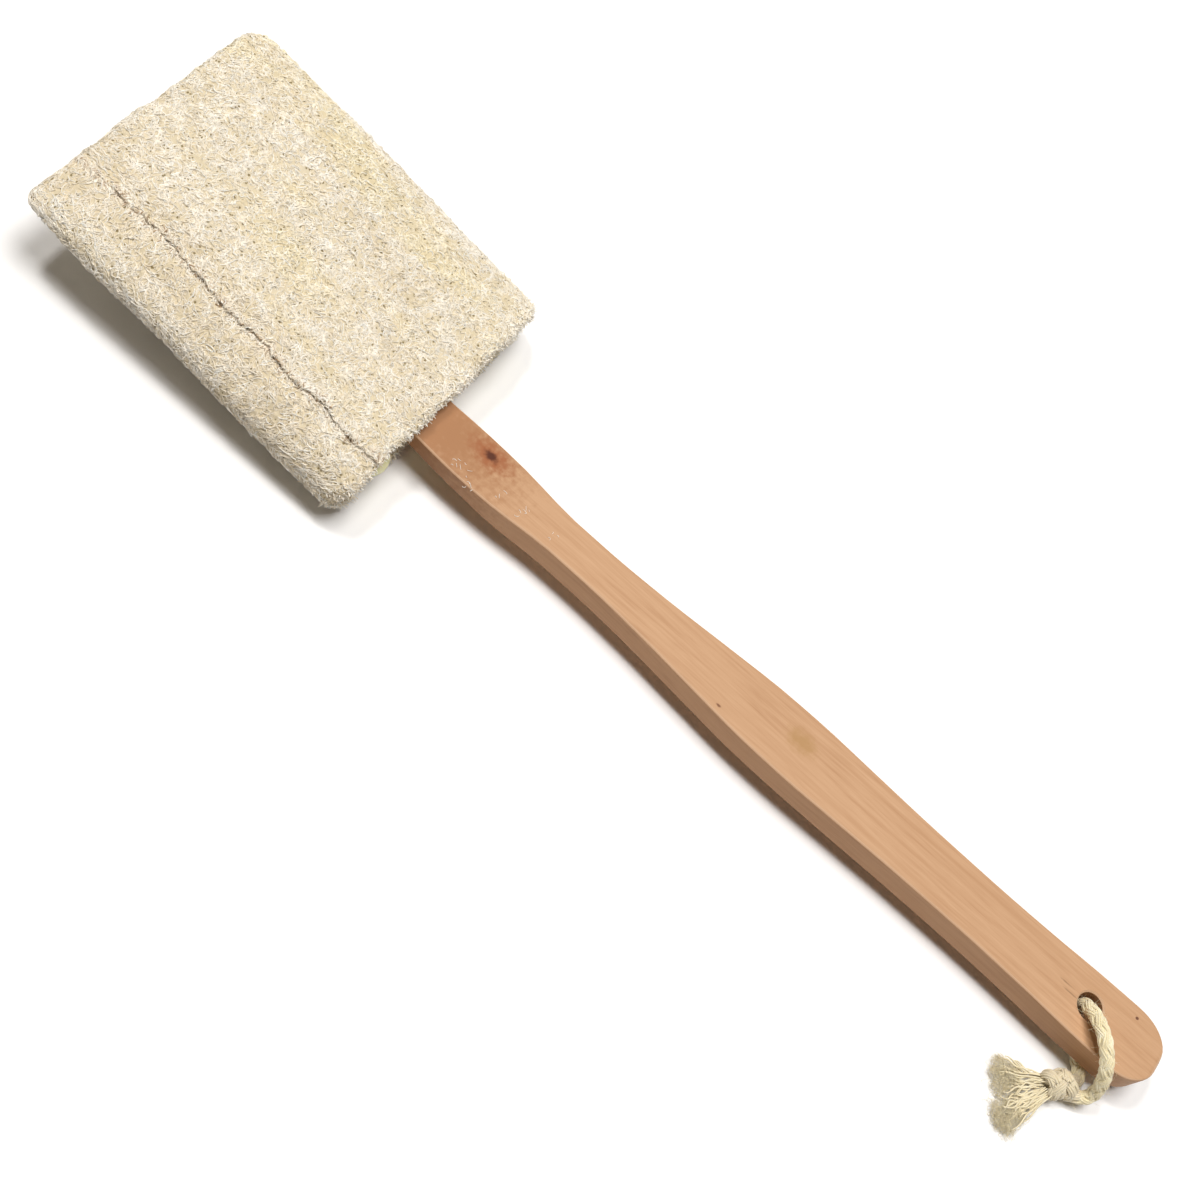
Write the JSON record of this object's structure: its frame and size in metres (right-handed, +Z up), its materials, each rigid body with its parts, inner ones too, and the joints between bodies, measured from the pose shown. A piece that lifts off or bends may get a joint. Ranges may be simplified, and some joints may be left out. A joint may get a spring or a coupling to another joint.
{
  "type": "loofah back scrubber",
  "caption": "Long-handled back scrubber: a flat loofah pouch over a foam pad on a shaped wooden handle, with a knotted cotton hanging cord.",
  "frame": {"origin": "on the surface the scrubber lies on, under the middle of the head and handle together", "axes": "+X along the handle from the head to the tip, +Z up, +Y across the head"},
  "size_m": [0.4606, 0.1107, 0.038],
  "materials": {
    "loofah": "coarse matte natural fibre",
    "foam": "matte open-cell foam",
    "wood": "fine-sanded, lightly waxed",
    "cotton": "matte braided cotton"
  },
  "bodies": {
    "scrubber": {"loofah_pouch": "loofah", "foam_core": "foam", "wooden_handle": "wood"},
    "cord": {"hanging_cord": "cotton", "cord_knot": "cotton", "cord_tail_upper": "cotton", "cord_tail_lower": "cotton"}
  },
  "joints": [
    {"name": "cord_swing", "type": "hinge", "parent": "scrubber", "child": "cord", "pos_m": [0.20005, -0.0084, 0.01285], "axis": [0, 0, 1], "range_deg": [-60, 0]}
  ]
}
